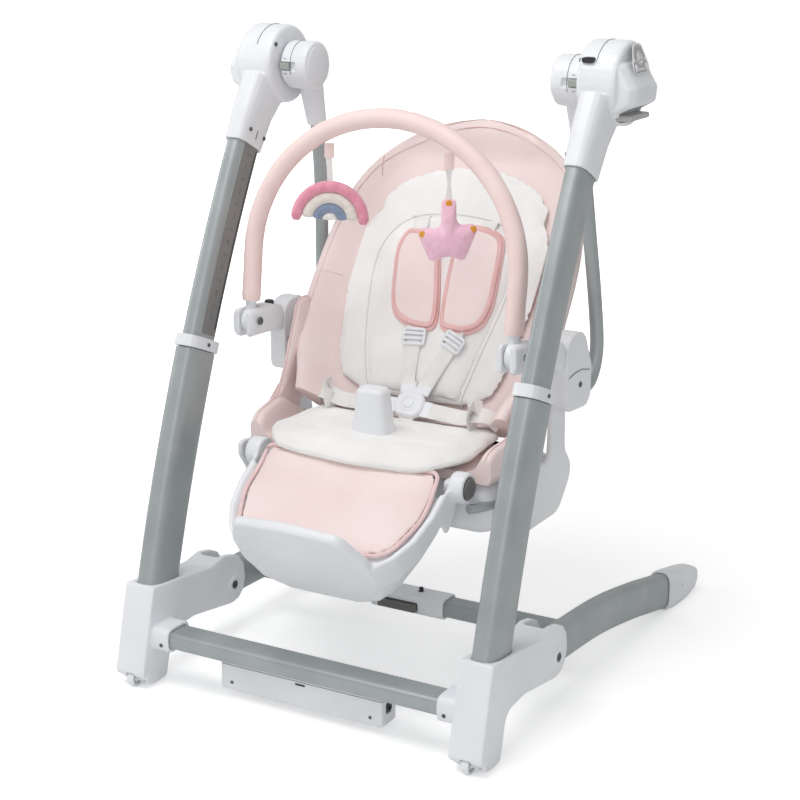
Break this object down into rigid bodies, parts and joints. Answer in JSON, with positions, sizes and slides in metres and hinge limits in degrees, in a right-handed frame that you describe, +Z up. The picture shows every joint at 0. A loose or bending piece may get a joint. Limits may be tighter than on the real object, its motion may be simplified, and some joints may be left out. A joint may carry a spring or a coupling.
{
  "type": "baby swing",
  "caption": "Powered infant swing seat hung between two leaning telescopic legs, with reclining padded back, tilting footrest, toy arch and a folding rear base.",
  "frame": {"origin": "on the floor, under the middle of the whole footprint", "axes": "+Z up; the child faces -Y; +X is the child's left, the side of the control console"},
  "size_m": [0.6842, 0.82, 0.9545],
  "materials": {
    "leatherette": "soft pale pink leatherette, low sheen",
    "cushion_fabric": "off-white quilted knit fabric",
    "white_plastic": "cool white moulded plastic, satin",
    "painted_tube": "silver-grey metallic powder coat, semi-gloss",
    "steel": "bright steel",
    "black_plastic": "black moulded plastic",
    "grey_plastic": "dark grey moulded plastic",
    "console_plastic": "light grey moulded plastic",
    "rainbow_plush": "short-pile plush in pink, cream and blue-grey bands",
    "crown_plush": "pale pink printed cotton"
  },
  "bodies": {
    "base": {"front_crossbar": "painted_tube", "lower_leg_tube_left": "painted_tube", "lower_leg_tube_right": "painted_tube", "tube_ring_left": "white_plastic", "tube_ring_right": "white_plastic", "foot_left": "white_plastic", "foot_right": "white_plastic", "control_box": "white_plastic", "dc_jack": "black_plastic"},
    "wheel_left": {"front_wheel_left": "white_plastic"},
    "wheel_right": {"front_wheel_right": "white_plastic"},
    "rear_frame": {"rear_tube_left": "painted_tube", "rear_tube_right": "painted_tube", "rear_cap_left": "white_plastic", "rear_cap_right": "white_plastic", "rear_crossbar": "painted_tube", "latch_housing": "white_plastic"},
    "latch_lever": {"latch_lever": "grey_plastic"},
    "latch_button": {"latch_button": "black_plastic"},
    "upper_frame": {"upper_leg_tube_left": "painted_tube", "upper_leg_tube_right": "painted_tube", "hub_housing_left": "white_plastic", "hub_housing_right": "white_plastic", "console_panel": "console_plastic", "drive_motor": "steel"},
    "release_lever_left": {"release_lever_left": "grey_plastic"},
    "release_lever_right": {"release_lever_right": "grey_plastic"},
    "console_button_centre": {"console_button_centre": "white_plastic"},
    "console_button_left": {"console_button_left": "white_plastic"},
    "console_button_right": {"console_button_right": "white_plastic"},
    "swing": {"swing_shaft_left": "steel", "swing_shaft_right": "steel", "pod_left": "white_plastic", "pod_right": "white_plastic", "swing_arm_left": "painted_tube", "swing_arm_right": "painted_tube", "arm_joint_left": "white_plastic", "arm_joint_right": "white_plastic", "toybar_mount_left": "white_plastic", "toybar_mount_right": "white_plastic", "seat_base": "white_plastic", "seat_pad": "leatherette", "seat_cushion": "cushion_fabric", "crotch_post": "white_plastic", "harness_buckle": "white_plastic"},
    "swing_lock_left": {"swing_lock_left": "console_plastic"},
    "swing_lock_right": {"swing_lock_right": "console_plastic"},
    "toybar_button_left": {"toybar_button_left": "black_plastic"},
    "toybar_button_right": {"toybar_button_right": "black_plastic"},
    "buckle_button": {"buckle_button": "white_plastic"},
    "backrest": {"backrest_shell": "white_plastic", "backrest_pad": "leatherette", "back_cushion": "cushion_fabric"},
    "footrest": {"footrest_shell": "white_plastic", "footrest_pad": "leatherette"},
    "footrest_button_left": {"footrest_button_left": "grey_plastic"},
    "footrest_button_right": {"footrest_button_right": "grey_plastic"},
    "toy_bar": {"toy_bar": "leatherette"},
    "rainbow": {"rainbow_toy": "rainbow_plush"},
    "crown": {"crown_toy": "crown_plush"}
  },
  "joints": [
    {"name": "height_telescope", "type": "hinge", "parent": "base", "child": "upper_frame", "pos_m": [0, 2.6884, -0.69862], "axis": [-1, 0, 0], "range_deg": [-1.46, 0]},
    {"name": "rear_fold", "type": "hinge", "parent": "base", "child": "rear_frame", "pos_m": [0, -0.1615, 0.089], "axis": [1, 0, 0], "range_deg": [0, 80]},
    {"name": "wheel_spin_right", "type": "hinge", "parent": "base", "child": "wheel_right", "pos_m": [0.284, -0.39, 0.013], "axis": [1, 0, 0], "continuous": true},
    {"name": "wheel_spin_left", "type": "hinge", "parent": "base", "child": "wheel_left", "pos_m": [-0.284, -0.39, 0.013], "axis": [1, 0, 0], "continuous": true},
    {"name": "latch_lever_pull", "type": "hinge", "parent": "rear_frame", "child": "latch_lever", "pos_m": [0, -0.066, 0.078], "axis": [-1, 0, 0], "range_deg": [0, 35], "stiffness_Nm_per_rad": 0.02, "springref_deg": -17.19},
    {"name": "latch_button_press", "type": "slide", "parent": "rear_frame", "child": "latch_button", "axis": [0, 0, -1], "range_m": [0, 0.0026], "stiffness_N_per_m": 300, "springref_m": -0.002},
    {"name": "release_lever_squeeze_right", "type": "slide", "parent": "upper_frame", "child": "release_lever_right", "axis": [0, 0, 1], "range_m": [0, 0.006], "stiffness_N_per_m": 400, "springref_m": -0.002},
    {"name": "release_lever_squeeze_left", "type": "slide", "parent": "upper_frame", "child": "release_lever_left", "axis": [0, 0, 1], "range_m": [0, 0.006], "stiffness_N_per_m": 400, "springref_m": -0.002},
    {"name": "console_button_press_centre", "type": "slide", "parent": "upper_frame", "child": "console_button_centre", "axis": [-0.9687, 0, -0.2481], "range_m": [0, 0.001], "stiffness_N_per_m": 300, "springref_m": -0.001},
    {"name": "console_button_press_left", "type": "slide", "parent": "upper_frame", "child": "console_button_left", "axis": [-0.9687, 0, -0.2481], "range_m": [0, 0.001], "stiffness_N_per_m": 300, "springref_m": -0.001},
    {"name": "console_button_press_right", "type": "slide", "parent": "upper_frame", "child": "console_button_right", "axis": [-0.9687, 0, -0.2481], "range_m": [0, 0.001], "stiffness_N_per_m": 300, "springref_m": -0.001},
    {"name": "swing_pendulum", "type": "hinge", "parent": "upper_frame", "child": "swing", "pos_m": [0, 0.0226, 0.894], "axis": [-1, 0, 0], "range_deg": [-12, 12]},
    {"name": "swing_lock_slide_right", "type": "slide", "parent": "swing", "child": "swing_lock_right", "axis": [-1, 0, 0], "range_m": [0, 0.008]},
    {"name": "swing_lock_slide_left", "type": "slide", "parent": "swing", "child": "swing_lock_left", "axis": [1, 0, 0], "range_m": [0, 0.008]},
    {"name": "toybar_button_press_right", "type": "slide", "parent": "swing", "child": "toybar_button_right", "axis": [0, 0, -1], "range_m": [0, 0.0028], "stiffness_N_per_m": 300, "springref_m": -0.002},
    {"name": "toybar_button_press_left", "type": "slide", "parent": "swing", "child": "toybar_button_left", "axis": [0, 0, -1], "range_m": [0, 0.0028], "stiffness_N_per_m": 300, "springref_m": -0.002},
    {"name": "buckle_button_press", "type": "slide", "parent": "swing", "child": "buckle_button", "axis": [0, 0.7431, -0.6691], "range_m": [0, 0.003], "stiffness_N_per_m": 400, "springref_m": -0.002},
    {"name": "backrest_recline", "type": "hinge", "parent": "swing", "child": "backrest", "pos_m": [0, -0.03, 0.4], "axis": [1, 0, 0], "range_deg": [-12, 18]},
    {"name": "footrest_raise", "type": "hinge", "parent": "swing", "child": "footrest", "pos_m": [0, -0.207, 0.338], "axis": [-1, 0, 0], "range_deg": [0, 34]},
    {"name": "footrest_button_press_right", "type": "slide", "parent": "footrest", "child": "footrest_button_right", "axis": [-1, 0, 0], "range_m": [0, 0.0028], "stiffness_N_per_m": 300, "springref_m": -0.002},
    {"name": "footrest_button_press_left", "type": "slide", "parent": "footrest", "child": "footrest_button_left", "axis": [1, 0, 0], "range_m": [0, 0.0028], "stiffness_N_per_m": 300, "springref_m": -0.002},
    {"name": "toybar_turn", "type": "hinge", "parent": "swing", "child": "toy_bar", "pos_m": [0, -0.1515, 0.525], "axis": [1, 0, 0], "range_deg": [-15, 80]},
    {"name": "rainbow_dangle", "type": "hinge", "parent": "toy_bar", "child": "rainbow", "pos_m": [-0.1, -0.11545, 0.79829], "axis": [1, 0, 0], "range_deg": [-20, 20]},
    {"name": "crown_dangle", "type": "hinge", "parent": "toy_bar", "child": "crown", "pos_m": [0.1, -0.11545, 0.79829], "axis": [1, 0, 0], "range_deg": [-20, 20]}
  ]
}
